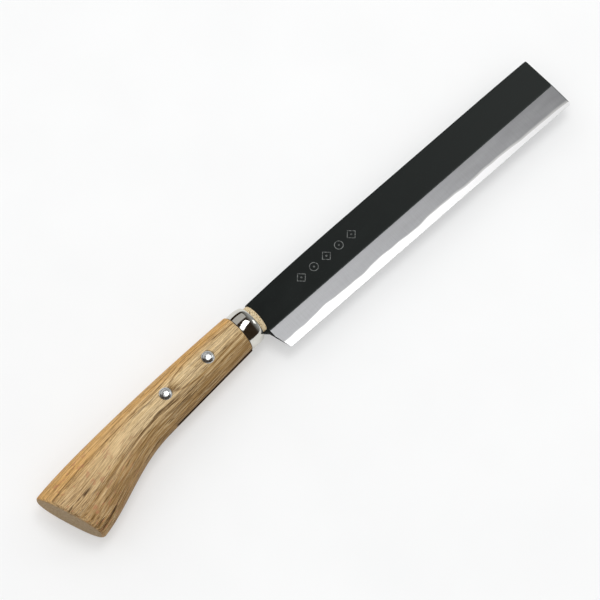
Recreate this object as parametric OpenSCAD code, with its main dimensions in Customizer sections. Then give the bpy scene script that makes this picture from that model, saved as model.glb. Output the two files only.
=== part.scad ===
// Straight-bladed hand sickle: a forged three-layer blade in a wooden handle,
// held by a plated ferrule and two compression rivets.
// Millimetres. X runs along the tool towards the tip, +Y is the spine side,
// Z is square to the blade's flats. The origin is under the middle of the box.

/* [Blade] */
// Cutting edge, from the heel's corner to the tip
edge_len = 210; // [150:1:300]
// Spine above the handle's axis
spine_h = 10.65; // [9.5:0.05:16]
// Edge below the handle's axis at the heel
edge_h = 24.3; // [20:0.1:40]
// How much lower the edge is at the tip than at the heel
edge_fall = 0.6; // [0:0.1:4]
// Thickness at the flats
blade_t = 2.8; // [2.4:0.1:6]
// Mean width of the ground bevel
bevel_w = 13.9; // [9:0.1:18]
// Thickness left at the edge, where it is lowest
edge_t = 0.3; // [0.1:0.05:0.6]
// Thickness of the hard steel in the middle
core_t = 1.0; // [0.7:0.05:1.5]
// How far the spine dips down to the neck
neck_dip = 1.45; // [0:0.05:3]
// Length of spine over which that dip fades out
neck_dip_len = 90; // [20:1:140]
// How far the spine falls towards the tip
tip_dip = 0.3; // [0:0.05:2]
// Length of spine over which it falls
tip_dip_len = 40; // [10:1:80]
// Rounding of the tip's corner on the spine side
tip_spine_r = 1; // [0.3:0.1:6]
// Rounding of the tip's corner on the edge side
tip_edge_r = 1.6; // [0.3:0.1:6]

/* [Heel and neck] */
// From the handle's front face to the heel's corner
heel_x = 15.85; // [14:0.05:30]
// How far the heel slants back, from the edge up to the neck
heel_slant = 3.35; // [0:0.05:6]
// Height of the straight heel, from the edge up to the neck
heel_h = 13.25; // [6:0.05:14]
// Gap between the blade's shoulder and the end of the wood
shoulder_gap = 0.1; // [0.05:0.05:1]
// Gap between the neck and the ferrule's mouth
neck_gap = 0.3; // [0.1:0.05:1]

/* [Tang] */
// Thickness of the tang
tang_t = 2.2; // [1.8:0.1:2.3]
// Tang's end behind the handle's front face
tang_len = 57.2; // [56:0.1:90]
// Top of the tang above the axis at its front
tang_top_front = 5.6; // [4:0.1:7]
// Top of the tang above the axis at its end
tang_top_rear = 3.4; // [2.6:0.1:7]
// Bottom of the tang below the axis at its end
tang_low_rear = 7.2; // [6:0.1:12]
// Clearance round the tang in its slot and in the ferrule's mouth
slot_fit = 0.05; // [0.02:0.01:0.4]

/* [Handle] */
// Diameter at the front, and thickness all along
handle_t = 23; // [22:0.1:32]
// Length of the back, on the spine side
back_len = 139.1; // [110:0.1:220]
// Length of the belly, on the edge side
belly_len = 126; // [100:0.1:210]
// How far the back falls to the butt
back_drop = 6.2; // [0:0.1:12]
// Extra fall in the last stretch of the back
back_roll = 1.4; // [0:0.1:4]
// Slope of the belly, in degrees
belly_slope = 4.5; // [0:0.1:8]
// Extra depth of the flared hook at the butt
hook_depth = 13.75; // [0:0.05:25]
// Where the hook starts, behind the front face
hook_start = 62; // [40:1:90]
// Where the hook is deepest, behind the front face
hook_end = 131; // [100:1:200]
// Rounding of the butt's rim
butt_round = 1.8; // [0.4:0.1:4]
// Rounding of the front rim
front_round = 0.7; // [0.2:0.1:1.2]
// Squareness of the section at the butt: 2 is an ellipse
butt_power = 2.25; // [2:0.05:3]

/* [Ferrule] */
// Length along the handle
ferrule_len = 10; // [6:0.1:18]
// Radius where it meets the handle's face
ferrule_base_r = 10.6; // [9.5:0.05:11]
// Widest radius of the barrel
ferrule_max_r = 11.1; // [9.6:0.05:11.4]
// Distance from the base to the widest ring
ferrule_max_x = 4.2; // [2:0.1:5]
// Outer radius of the rolled mouth
ferrule_mouth_r = 9.3; // [8:0.05:9.5]
// Sheet thickness
ferrule_wall = 0.7; // [0.4:0.05:1]
// Clearance to the wood inside
ferrule_fit = 0.05; // [0.02:0.01:0.3]
// How far the end of the wood stands out of the mouth
tenon_out = 3.3; // [1:0.1:6]
// Rounding of the end of the wood
tenon_round = 0.8; // [0.2:0.1:1.5]

/* [Rivets] */
// Front rivet behind the handle's front face
rivet_x = 23; // [16:0.1:30]
// Distance between the two rivets
rivet_pitch = 29.8; // [20:0.1:31]
// Rivets below the axis
rivet_drop = 1.8; // [0:0.1:3]
// Diameter of the domed heads
head_d = 7.3; // [6.5:0.1:9]
// Height of a head from its seat to the top of the dome
head_h = 2.1; // [1.4:0.1:3]
// Height of the head's straight rim
head_rim = 0.5; // [0.3:0.1:0.8]
// Seat's depth below the crown of the wood
seat_depth = 0.95; // [0.8:0.05:1.6]
// Outer diameter of the female half's tube
tube_d = 4.8; // [4.2:0.1:5.6]
// Wall of that tube
tube_wall = 0.8; // [0.5:0.05:1]
// Tube's mouth above the middle of the blade
tube_top = 5; // [3:0.1:8]
// Male half's shank below the middle of the blade
shank_low = 7; // [4:0.1:8]
// Radial clearance of the tube and of the head in the wood and steel
rivet_fit = 0.05; // [0.02:0.01:0.2]
// Radial clearance of the shank inside the tube
shank_fit = 0.02; // [0.01:0.01:0.1]

/* [Hidden] */
$fn = 64;
steel_color = [0.80, 0.81, 0.82];
scale_color = [0.13, 0.13, 0.14];
wood_color = [0.78, 0.62, 0.41];
plate_color = [0.86, 0.86, 0.84];
sides = 56;
rings = 34;
round_rings = 5;
spine_steps = 24;
past = 1;
under = 0.1;
saw_depth = 0.02;

half_t = handle_t / 2;
tip_x = heel_x + edge_len;
tenon_x = ferrule_len + tenon_out;
shoulder_x = tenon_x + shoulder_gap;
inner_mouth_r = ferrule_mouth_r - ferrule_wall;
tenon_r = inner_mouth_r - ferrule_fit;
edge_y = -edge_h;
edge_low_y = edge_y - edge_fall;
ridge_y = (edge_y + edge_low_y) / 2 + bevel_w;
// The neck passes just under the wood that stands out of the mouth.
neck_y = -tenon_r - neck_gap;
neck_x = ferrule_len + neck_gap;
// The tang fills the slot down to the ferrule's mouth.
tang_low_front = sqrt(pow(inner_mouth_r, 2) - pow(tang_t / 2, 2)) - slot_fit;
seat_z = half_t - seat_depth;
head_r = head_d / 2;
tube_r = tube_d / 2;
tube_bore_r = tube_r - tube_wall;
shank_r = tube_bore_r - shank_fit;
rivet_xs = [-rivet_x, -rivet_x - rivet_pitch];

function clamp01(t) = min(1, max(0, t));
function smooth(t) = clamp01(t) * clamp01(t) * (3 - 2 * clamp01(t));
function signed_pow(v, p) = sign(v) * pow(abs(v), p);
function arc(cx, cy, r, a0, a1, n) =
    [for (i = [0:n]) [cx + r * cos(a0 + (a1 - a0) * i / n), cy + r * sin(a0 + (a1 - a0) * i / n)]];

// Spine: nearly straight, dipping to the neck and very slightly to the tip
function spine_y(x) = spine_h
    - neck_dip * pow(1 - clamp01((x - shoulder_x) / neck_dip_len), 3)
    - tip_dip * pow(clamp01((x - tip_x + tip_dip_len) / tip_dip_len), 2);

// The handle's two outlines in the blade's plane, s measured back from the front face
function back_y(s) = half_t - back_drop * pow(s / back_len, 2) - back_roll * pow(s / back_len, 10);
function belly_y(s) = -half_t - s * tan(belly_slope)
    - hook_depth * pow(smooth((s - hook_start) / (hook_end - hook_start)), 1.15);

// One oval section, set between the two outlines, u from 0 at the front to 1 at the butt.
// inset draws it in all round, for the rounded rims.
function section(u, inset) =
    let (
        back = [-u * back_len, back_y(u * back_len)],
        belly = [-u * belly_len, belly_y(u * belly_len)],
        mid = (back + belly) / 2,
        half = norm(back - belly) / 2,
        dir = (back - belly) / (2 * half),
        p = 2 / (2 + (butt_power - 2) * u)
    )
    [for (k = [0:sides - 1])
        let (
            a = 360 * k / sides,
            across = (half - inset) * signed_pow(cos(a), p),
            up = (half_t - inset) * signed_pow(sin(a), p)
        )
        [mid[0] + dir[0] * across, mid[1] + dir[1] * across, up]];

// Stations of the loft: a rounded front rim, the grip, and a rounded butt rim
front_stations = [for (i = [0:round_rings])
    let (a = 90 * i / round_rings)
    [front_round * (1 - sin(a)) / back_len, front_round * (1 - cos(a))]];
butt_stations = [for (i = [0:round_rings])
    let (a = 90 * i / round_rings)
    [1 - butt_round * (1 - sin(a)) / back_len, butt_round * (1 - cos(a))]];
grip_from = front_round / back_len;
grip_to = 1 - butt_round / back_len;
grip_stations = [for (i = [1:rings - 1]) [grip_from + (grip_to - grip_from) * i / rings, 0]];
stations = concat(
    [for (i = [round_rings:-1:0]) front_stations[i]],
    grip_stations,
    butt_stations);
loft_points = [for (s = stations) each section(s[0], s[1])];
last = len(stations) - 1;
loft_faces = concat(
    [[for (k = [sides - 1:-1:0]) k]],
    [for (i = [0:last - 1], k = [0:sides - 1])
        let (n = (k + 1) % sides)
        [i * sides + k, i * sides + n, (i + 1) * sides + k]],
    [for (i = [0:last - 1], k = [0:sides - 1])
        let (n = (k + 1) % sides)
        [i * sides + n, (i + 1) * sides + n, (i + 1) * sides + k]],
    [[for (k = [0:sides - 1]) last * sides + k]]);

// The butt's plane: its middle, and its turn about Z
butt_back = [-back_len, back_y(back_len)];
butt_belly = [-belly_len, belly_y(belly_len)];
butt_mid = (butt_back + butt_belly) / 2;
butt_turn = atan2(butt_belly[0] - butt_back[0], butt_back[1] - butt_belly[1]);

// Ferrule's outer radius: a gently swelling barrel, rolled in at the mouth
function barrel_r(x) = x < ferrule_max_x
    ? ferrule_base_r + (ferrule_max_r - ferrule_base_r) * (1 - pow(1 - x / ferrule_max_x, 2))
    : ferrule_mouth_r + (ferrule_max_r - ferrule_mouth_r)
        * pow(1 - pow((x - ferrule_max_x) / (ferrule_len - ferrule_max_x), 2.6), 0.5);
barrel_steps = 20;
barrel_xs = [for (i = [0:barrel_steps]) ferrule_len * (1 - pow(1 - i / barrel_steps, 1.5))];
// Inside, the bore is straight and then narrows to the mouth.
bore_r = ferrule_base_r - ferrule_wall;
bore_len = ferrule_len - 2.6 * ferrule_wall;
mouth_len = ferrule_wall;

// The whole part's box, so that the origin lies under its middle
x_low = min([for (p = loft_points) p[0]]);
y_low = min([for (p = loft_points) p[1]]);
y_high = max(max([for (p = loft_points) p[1]]), max([for (i = [0:200]) spine_y(shoulder_x + i)]));
z_high = max(half_t, seat_z + head_h);
home = [-(x_low + tip_x) / 2, -(y_low + y_high) / 2, z_high];

module place() {
    translate(home)
        children();
}

// Turns a profile drawn as [x along the handle, radius] about the handle's axis
module spin(profile) {
    rotate([0, 90, 0])
        rotate_extrude()
            polygon([for (p = profile) [p[1], p[0]]]);
}

module blade_outline() {
    spine_end = tip_x - tip_spine_r;
    polygon(concat(
        [for (i = [0:spine_steps])
            let (x = shoulder_x + (spine_end - shoulder_x) * i / spine_steps)
            [x, spine_y(x)]],
        arc(spine_end, spine_y(tip_x) - tip_spine_r, tip_spine_r, 75, 0, 5),
        arc(tip_x - tip_edge_r, edge_low_y + tip_edge_r, tip_edge_r, 0, -90, 6),
        [
            [heel_x, edge_y],
            [heel_x - heel_slant, edge_y + heel_h],
            [neck_x, neck_y],
            [shoulder_x, neck_y]
        ]));
}

module tang_outline() {
    polygon([
        [shoulder_x + past, tang_top_front],
        [shoulder_x + past, -tang_low_front],
        [0, -tang_low_front],
        [-tang_len + 2 * past, -tang_low_rear],
        [-tang_len, -tang_low_rear + 2 * past],
        [-tang_len, tang_top_rear - past],
        [-tang_len + past, tang_top_rear]
    ]);
}

// Flats down to the ridge line, then a plane bevel down to the edge, on both faces
module blade_section() {
    slope = (blade_t - edge_t) / 2 / (ridge_y - edge_low_y);
    low_y = edge_low_y - under;
    low_z = edge_t / 2 - slope * under;
    rotate([90, 0, 90])
        linear_extrude(height = tip_x + past)
            polygon([
                [spine_h + past, blade_t / 2],
                [ridge_y, blade_t / 2],
                [low_y, low_z],
                [low_y, -low_z],
                [ridge_y, -blade_t / 2],
                [spine_h + past, -blade_t / 2]
            ]);
}

module forging() {
    difference() {
        union() {
            intersection() {
                linear_extrude(height = blade_t + 2 * past, center = true)
                    blade_outline();
                blade_section();
            }
            linear_extrude(height = tang_t, center = true)
                tang_outline();
        }
        for (x = rivet_xs)
            translate([x, -rivet_drop, -blade_t])
                cylinder(h = 2 * blade_t, r = tube_r + rivet_fit);
    }
}

// A slab between two heights, wide enough for the whole blade
module layer(z0, z1) {
    translate([-tang_len - past, edge_low_y - past, z0])
        cube([tip_x + tang_len + 2 * past, spine_h - edge_low_y + 2 * past, z1 - z0]);
}

module blade_core() {
    color(steel_color)
        place()
            intersection() {
                forging();
                layer(-core_t / 2, core_t / 2);
            }
}

module blade_cladding_upper() {
    color(scale_color)
        place()
            intersection() {
                forging();
                layer(core_t / 2, blade_t);
            }
}

module blade_cladding_lower() {
    color(scale_color)
        place()
            intersection() {
                forging();
                layer(-blade_t, -core_t / 2);
            }
}

// The turned end of the wood, inside the ferrule and out of its mouth
module nose() {
    spin([
        [-past, 0],
        [-past, bore_r - ferrule_fit],
        [bore_len, bore_r - ferrule_fit],
        [ferrule_len - mouth_len, tenon_r],
        [tenon_x - tenon_round, tenon_r],
        [tenon_x - 0.3 * tenon_round, tenon_r - 0.3 * tenon_round],
        [tenon_x, tenon_r - tenon_round],
        [tenon_x, 0]
    ]);
}

// Saws a hair off the end of the loft, so that the butt is one true plane
module butt_cut() {
    block = 2 * norm(butt_back - butt_belly);
    translate(butt_mid)
        rotate([0, 0, butt_turn])
            translate([saw_depth - block, -block / 2, -block / 2])
                cube(block);
}

// Sawn slot for the tang, open along the belly
module tang_slot() {
    linear_extrude(height = tang_t + 2 * slot_fit, center = true)
        polygon([
            [tenon_x + past, tang_top_front + slot_fit],
            [0, tang_top_front + slot_fit],
            [-tang_len - slot_fit, tang_top_rear + slot_fit],
            [-tang_len - slot_fit, y_low - past],
            [tenon_x + past, y_low - past]
        ]);
}

// Stepped hole and head seats of one rivet
module rivet_hole() {
    translate([0, 0, -half_t - past])
        cylinder(h = half_t + past + tube_top + 4 * rivet_fit, r = tube_r + rivet_fit);
    cylinder(h = half_t + past, r = shank_r + rivet_fit);
    for (side = [0, 1])
        mirror([0, 0, side])
            translate([0, 0, seat_z])
                cylinder(h = half_t, r = head_r + rivet_fit);
}

module handle() {
    color(wood_color)
        place()
            difference() {
                union() {
                    polyhedron(points = loft_points, faces = loft_faces, convexity = 6);
                    nose();
                }
                butt_cut();
                tang_slot();
                for (x = rivet_xs)
                    translate([x, -rivet_drop, 0])
                        rivet_hole();
            }
}

module ferrule() {
    color(plate_color)
        place()
            spin(concat(
                [for (x = barrel_xs) [x, barrel_r(x)]],
                [
                    [ferrule_len, inner_mouth_r],
                    [ferrule_len - mouth_len, inner_mouth_r],
                    [bore_len, bore_r],
                    [0, bore_r]
                ]));
}

// Domed head standing on its seat, z upwards
module rivet_head() {
    dome_h = head_h - head_rim;
    dome_r = (head_r * head_r + dome_h * dome_h) / (2 * dome_h);
    dome_a = asin(head_r / dome_r);
    rotate_extrude()
        polygon(concat(
            [[0, 0], [head_r, 0]],
            arc(0, head_h - dome_r, dome_r, 90 - dome_a, 90, 10)));
}

module rivet_male(x) {
    color(plate_color)
        place()
            translate([x, -rivet_drop, 0]) {
                translate([0, 0, seat_z])
                    rivet_head();
                translate([0, 0, -shank_low])
                    cylinder(h = shank_low + seat_z + head_rim, r = shank_r);
            }
}

module rivet_female(x) {
    color(plate_color)
        place()
            translate([x, -rivet_drop, 0])
                difference() {
                    union() {
                        translate([0, 0, -seat_z])
                            mirror([0, 0, 1])
                                rivet_head();
                        translate([0, 0, -seat_z - head_rim])
                            cylinder(h = seat_z + head_rim + tube_top, r = tube_r);
                    }
                    translate([0, 0, -seat_z + head_rim])
                        cylinder(h = seat_z + tube_top, r = tube_bore_r);
                }
}

module rivet_front_male() {
    rivet_male(rivet_xs[0]);
}

module rivet_front_female() {
    rivet_female(rivet_xs[0]);
}

module rivet_rear_male() {
    rivet_male(rivet_xs[1]);
}

module rivet_rear_female() {
    rivet_female(rivet_xs[1]);
}

blade_core();
blade_cladding_upper();
blade_cladding_lower();
handle();
ferrule();
rivet_front_male();
rivet_front_female();
rivet_rear_male();
rivet_rear_female();
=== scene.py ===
# Straight-bladed hand sickle: the fine pieces and the finishes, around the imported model.
# Lengths in the making functions are millimetres in the sickle's own drawing frame:
# x forward from the handle's front face, y towards the spine, z square to the blade,
# with the handle's axis at y = z = 0. to_row() turns them into the row's metres.
import math

import bmesh
import bpy
import numpy as np
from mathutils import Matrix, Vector


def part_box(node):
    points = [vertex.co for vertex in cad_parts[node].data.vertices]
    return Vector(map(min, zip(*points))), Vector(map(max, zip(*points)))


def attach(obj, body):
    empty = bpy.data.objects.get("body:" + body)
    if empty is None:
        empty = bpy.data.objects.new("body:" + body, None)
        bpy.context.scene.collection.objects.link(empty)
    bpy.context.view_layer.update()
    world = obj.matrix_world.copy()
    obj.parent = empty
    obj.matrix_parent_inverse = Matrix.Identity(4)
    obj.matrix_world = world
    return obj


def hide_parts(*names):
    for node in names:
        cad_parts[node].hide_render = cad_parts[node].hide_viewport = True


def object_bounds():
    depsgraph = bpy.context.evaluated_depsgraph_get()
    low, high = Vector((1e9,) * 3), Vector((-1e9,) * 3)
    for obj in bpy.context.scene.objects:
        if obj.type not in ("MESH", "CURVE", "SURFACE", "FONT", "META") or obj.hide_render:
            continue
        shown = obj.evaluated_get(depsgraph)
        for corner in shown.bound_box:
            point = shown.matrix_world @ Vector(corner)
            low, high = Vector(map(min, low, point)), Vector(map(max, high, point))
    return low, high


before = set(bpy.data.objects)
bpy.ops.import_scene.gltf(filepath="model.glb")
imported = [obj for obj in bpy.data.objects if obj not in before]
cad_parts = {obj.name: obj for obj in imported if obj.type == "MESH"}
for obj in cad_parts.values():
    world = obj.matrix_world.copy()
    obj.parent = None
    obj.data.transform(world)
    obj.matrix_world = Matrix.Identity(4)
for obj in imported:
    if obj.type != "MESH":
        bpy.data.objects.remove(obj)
cad_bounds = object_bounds()

MM = 0.001
SEED = 20
NOISE_CELLS = 64


# -------- places and sizes

def box_of(node):
    low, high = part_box(node)
    return np.array(low), np.array(high)


ferrule_low, ferrule_high = box_of("ferrule")
core_low, core_high = box_of("blade_core")
handle_high = box_of("handle")[1]
ferrule_mid = (ferrule_low + ferrule_high) / 2
ORIGIN = np.array([ferrule_low[0], ferrule_mid[1], ferrule_mid[2]])


def to_row(points):
    return ORIGIN + np.asarray(points, dtype=float) * MM


def from_row(points):
    return (np.asarray(points, dtype=float) - ORIGIN) / MM


# Read off the frame
FERRULE_LEN = from_row(ferrule_high)[0]
FERRULE_R = from_row(ferrule_high)[2]
TIP_X = from_row(core_high)[0]
EDGE_LOW_Y = from_row(core_low)[1]
TANG_END_X = from_row(core_low)[0]
TENON_X = from_row(handle_high)[0]
HALF_T = from_row(handle_high)[2]

# Blade
SPINE_H = 10.65
NECK_DIP = 1.45
NECK_DIP_LEN = 90.0
TIP_DIP = 0.3
TIP_DIP_LEN = 40.0
TIP_SPINE_R = 1.0
TIP_EDGE_R = 0.8
HEEL_X = 15.85
HEEL_SLANT = 3.35
HEEL_H = 13.25
EDGE_FALL = 0.6
EDGE_Y = EDGE_LOW_Y + EDGE_FALL
BLADE_T = 2.8
TANG_T = 2.2
CORE_T = 1.0
EDGE_T = 0.3
BEVEL_W = 13.9
RIDGE_Y = EDGE_LOW_Y + EDGE_FALL / 2 + BEVEL_W
BEVEL_SLOPE = (BLADE_T - EDGE_T) / 2 / (RIDGE_Y - EDGE_LOW_Y)
SHOULDER_X = TENON_X + 0.1
NECK_X = FERRULE_LEN + 0.3
NECK_Y = -8.85
TANG_LOW_FRONT = -8.45
TANG_LOW_REAR = -7.2
TANG_TOP_FRONT = 5.6
TANG_TOP_REAR = 3.4
SLOT_FIT = 0.05
ARRIS = 0.3
TIP_ARRIS = 0.35
TANG_STATIONS = 24
BLADE_STATIONS = 268

# Hard steel strip: its width at the heel, and how much of it is lost towards the tip
STRIP_W = 4.4
STRIP_LOSS = 2.7
STRIP_LOSS_X = 85
STRIP_LOSS_LEN = 140
HONED_SLOPE = 0.026

# Marks on the upper face
MARK_PITCH = 9.2
MARK_FROM_X = 46.5
MARK_Y = 0.6
MARK_COUNT = 5
MARK_R = 2.6
STROKE = 0.42
MARK_DEPTH = 0.07
LOZENGE_REACH = 1.25
LOZENGE_STROKE = 1.4
DOT_R = 0.55
DOT_HOLE_R = 0.05
# Just over the flats' deepest ripple: a face lower than this belongs to a mark.
RIPPLE_REACH = 0.033

# Handle
BACK_LEN = 139.1
BELLY_LEN = 126.0
BACK_DROP = 6.2
BACK_ROLL = 1.4
BELLY_SLOPE = math.tan(math.radians(4.5))
HOOK_DEPTH = 13.75
HOOK_START = 62.0
HOOK_END = 131.0
BUTT_ROUND = 1.8
FRONT_ROUND = 0.7
BUTT_POWER = 2.25
AROUND = 420
ALONG = 400

# Wood: half the section in the grain's own units, ring spacing, and the pith under the belly
GRAIN_HALF_W = 13
GRAIN_HALF_T = 12
RING_MM = 0.95
PITH_DEPTH = 40
CROWN_R = 51.9
GROOVE_DEPTH = 0.3
# How dark the grooves, and the painted shade beside the saw cut, are drawn
GROOVE_DARKNESS = 0.95

# Ferrule
FERRULE_BASE_R = 10.6
FERRULE_MAX_X = 4.2
FERRULE_MOUTH_R = 9.3
FERRULE_WALL = 0.7
FERRULE_LIP = 2.6 * FERRULE_WALL
FERRULE_EDGE = 0.12
FERRULE_BORE_R = FERRULE_BASE_R - FERRULE_WALL
WOOD_FIT = 0.05
TENON_R = FERRULE_MOUTH_R - FERRULE_WALL - WOOD_FIT
TENON_ROUND = 0.8

# Rivets
HEAD_H = 2.1
HEAD_RIM = 0.5
HEAD_EDGE = 0.12
HEAD_SINK = 0.95
SEAT_Z = HALF_T - HEAD_SINK
SHANK_R = 1.58
TUBE_R = 2.4
TUBE_BORE_R = 1.6
SHANK_EDGE = 0.3
TUBE_EDGE = 0.15
RIVET_FIT = 0.05


# -------- small helpers

def clamp01(t):
    return np.clip(t, 0.0, 1.0)


def smooth(t):
    t = clamp01(t)
    return t * t * (3 - 2 * t)


def lattice(cells, seed):
    """A table of random numbers between -1 and 1, the same each run."""
    return np.random.default_rng(seed).uniform(-1, 1, cells)


def noise2(u, v, seed):
    """Smooth random field, one cell per unit of u and v."""
    n = NOISE_CELLS
    table = lattice((n, n), seed)
    iu, iv = np.floor(u).astype(int), np.floor(v).astype(int)
    fu, fv = smooth(u - iu), smooth(v - iv)
    a = table[iu % n, iv % n]
    b = table[(iu + 1) % n, iv % n]
    c = table[iu % n, (iv + 1) % n]
    d = table[(iu + 1) % n, (iv + 1) % n]
    return (a * (1 - fu) + b * fu) * (1 - fv) + (c * (1 - fu) + d * fu) * fv


def arc_points(cx, cy, r, start, end, count):
    angles = np.radians(np.linspace(start, end, count))
    return [(cx + r * math.cos(a), cy + r * math.sin(a)) for a in angles]


def regular_ring(cx, cy, radius, sides):
    return [(cx + radius * math.cos(a), cy + radius * math.sin(a))
            for a in np.linspace(0, 2 * math.pi, sides, endpoint=False)]


def new_object(name, data):
    thing = bpy.data.objects.new(name, data)
    bpy.context.collection.objects.link(thing)
    return thing


def mesh_piece(name, points, faces):
    """A new object from points in drawing millimetres."""
    mesh = bpy.data.meshes.new(name)
    mesh.from_pydata(to_row(points).tolist(), [], faces)
    mesh.validate()
    return new_object(name, mesh)


def ring_faces(rings, around):
    """Quads between rings of points laid end to end, and a cap on each end."""
    faces = []
    for i in range(rings - 1):
        a, b = i * around, (i + 1) * around
        for k in range(around):
            n = (k + 1) % around
            faces.append((a + k, a + n, b + n, b + k))
    faces.append(tuple(range(around - 1, -1, -1)))
    last = (rings - 1) * around
    faces.append(tuple(range(last, last + around)))
    return faces


def recalculate_outside(piece):
    """Turns every face outwards."""
    shell = bmesh.new()
    shell.from_mesh(piece.data)
    bmesh.ops.recalc_face_normals(shell, faces=shell.faces)
    shell.to_mesh(piece.data)
    shell.free()


def prism(name, outline, z_low, z_high):
    """A plate with that outline in x and y."""
    count = len(outline)
    points = [(x, y, z_low) for x, y in outline] + [(x, y, z_high) for x, y in outline]
    faces = [tuple(range(count - 1, -1, -1)), tuple(range(count, 2 * count))]
    faces += [(k, (k + 1) % count, count + (k + 1) % count, count + k) for k in range(count)]
    piece = mesh_piece(name, points, faces)
    recalculate_outside(piece)
    return piece


def lathe(name, profile, around, place):
    """Turns (along, radius) pairs about an axis. place maps along, and the two cross
    directions, to drawing coordinates. A radius of 0 at an end closes the piece there."""
    angles = np.linspace(0, 2 * math.pi, around, endpoint=False)
    points, rings = [], []
    for along, radius in profile:
        if radius < 1e-6:
            rings.append([len(points)])
            points.append(place(along, 0.0, 0.0))
        else:
            rings.append(list(range(len(points), len(points) + around)))
            points += [place(along, radius * math.cos(a), radius * math.sin(a)) for a in angles]
    closed_loop = len(rings[0]) > 1 and len(rings[-1]) > 1
    pairs = list(zip(rings, rings[1:]))
    if closed_loop:
        pairs.append((rings[-1], rings[0]))
    faces = []
    for low, high in pairs:
        for k in range(around):
            n = (k + 1) % around
            if len(low) == 1:
                faces.append((low[0], high[n], high[k]))
            elif len(high) == 1:
                faces.append((low[k], low[n], high[0]))
            else:
                faces.append((low[k], low[n], high[n], high[k]))
    return mesh_piece(name, points, faces)


def carve(piece, cutter, operation="DIFFERENCE"):
    """Applies a boolean with the cutter, and removes the cutter."""
    cut = piece.modifiers.new("cut", "BOOLEAN")
    cut.operation = operation
    cut.object = cutter
    cut.solver = "EXACT"
    graph = bpy.context.evaluated_depsgraph_get()
    mesh = bpy.data.meshes.new_from_object(piece.evaluated_get(graph))
    piece.modifiers.clear()
    piece.data = mesh
    bpy.data.objects.remove(cutter)


def shade(piece, angle=32):
    """Smooth shading, broken at edges sharper than the angle."""
    piece.data.polygons.foreach_set("use_smooth", [True] * len(piece.data.polygons))
    piece.data.set_sharp_from_angle(angle=math.radians(angle))


def vertices_mm(piece):
    flat = np.empty(len(piece.data.vertices) * 3)
    piece.data.vertices.foreach_get("co", flat)
    return from_row(flat.reshape(-1, 3))


def set_vertices_mm(piece, points):
    piece.data.vertices.foreach_set("co", to_row(points).ravel())
    piece.data.update()


def vertex_normals(piece):
    flat = np.empty(len(piece.data.vertices) * 3)
    piece.data.vertex_normals.foreach_get("vector", flat)
    return flat.reshape(-1, 3)


def store(piece, name, values):
    """Keeps one number, or one vector, per point for the finish to read."""
    values = np.asarray(values, dtype=np.float32)
    if values.ndim == 1:
        layer = piece.data.attributes.new(name, "FLOAT", "POINT")
        layer.data.foreach_set("value", values)
    else:
        layer = piece.data.attributes.new(name, "FLOAT_VECTOR", "POINT")
        layer.data.foreach_set("vector", values.ravel())


def keep_inside(piece):
    """Trims the last few thousandths that finer sampling adds outside the model's box."""
    points = to_row(vertices_mm(piece))
    piece.data.vertices.foreach_set("co", np.clip(points, *map(np.array, cad_bounds)).ravel())
    piece.data.update()


# -------- finishes

def linear(hex_colour):
    """An sRGB hex colour as linear red, green, blue and alpha."""
    parts = [int(hex_colour[i:i + 2], 16) / 255 for i in (1, 3, 5)]
    return [c / 12.92 if c <= 0.04045 else ((c + 0.055) / 1.055) ** 2.4 for c in parts] + [1.0]


def add(tree, kind, inputs=None, stops=None, **settings):
    """One node. inputs maps a socket to the node or output that feeds it, or to a number, a
    vector or a hex colour; stops are a ramp's (position, hex or grey) pairs; settings are the
    node's own properties."""
    node = tree.nodes.new("ShaderNode" + kind)
    for name, value in settings.items():
        setattr(node, name, value)
    for key, value in (inputs or {}).items():
        live = [socket for socket in node.inputs if socket.enabled and socket.name == key]
        socket = live[0] if live else node.inputs[key]
        if isinstance(value, bpy.types.Node):
            value = next(output for output in value.outputs if output.enabled)
        if isinstance(value, bpy.types.NodeSocket):
            tree.links.new(value, socket)
        else:
            socket.default_value = linear(value) if isinstance(value, str) else value
    for index, (position, value) in enumerate(stops or []):
        elements = node.color_ramp.elements
        element = elements[index] if index < len(elements) else elements.new(position)
        element.position = position
        element.color = linear(value) if isinstance(value, str) else [value] * 3 + [1.0]
    return node


def new_finish(name):
    material = bpy.data.materials.new(name)
    material.use_nodes = True
    tree = material.node_tree
    tree.nodes.clear()
    return material, tree


def drawing_mm(tree):
    """The point being shaded, in drawing millimetres."""
    place = add(tree, "TexCoord").outputs["Object"]
    moved = add(tree, "VectorMath", {0: place, 1: ORIGIN}, operation="SUBTRACT")
    return add(tree, "VectorMath", {0: moved, "Scale": 1 / MM}, operation="SCALE")


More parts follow.
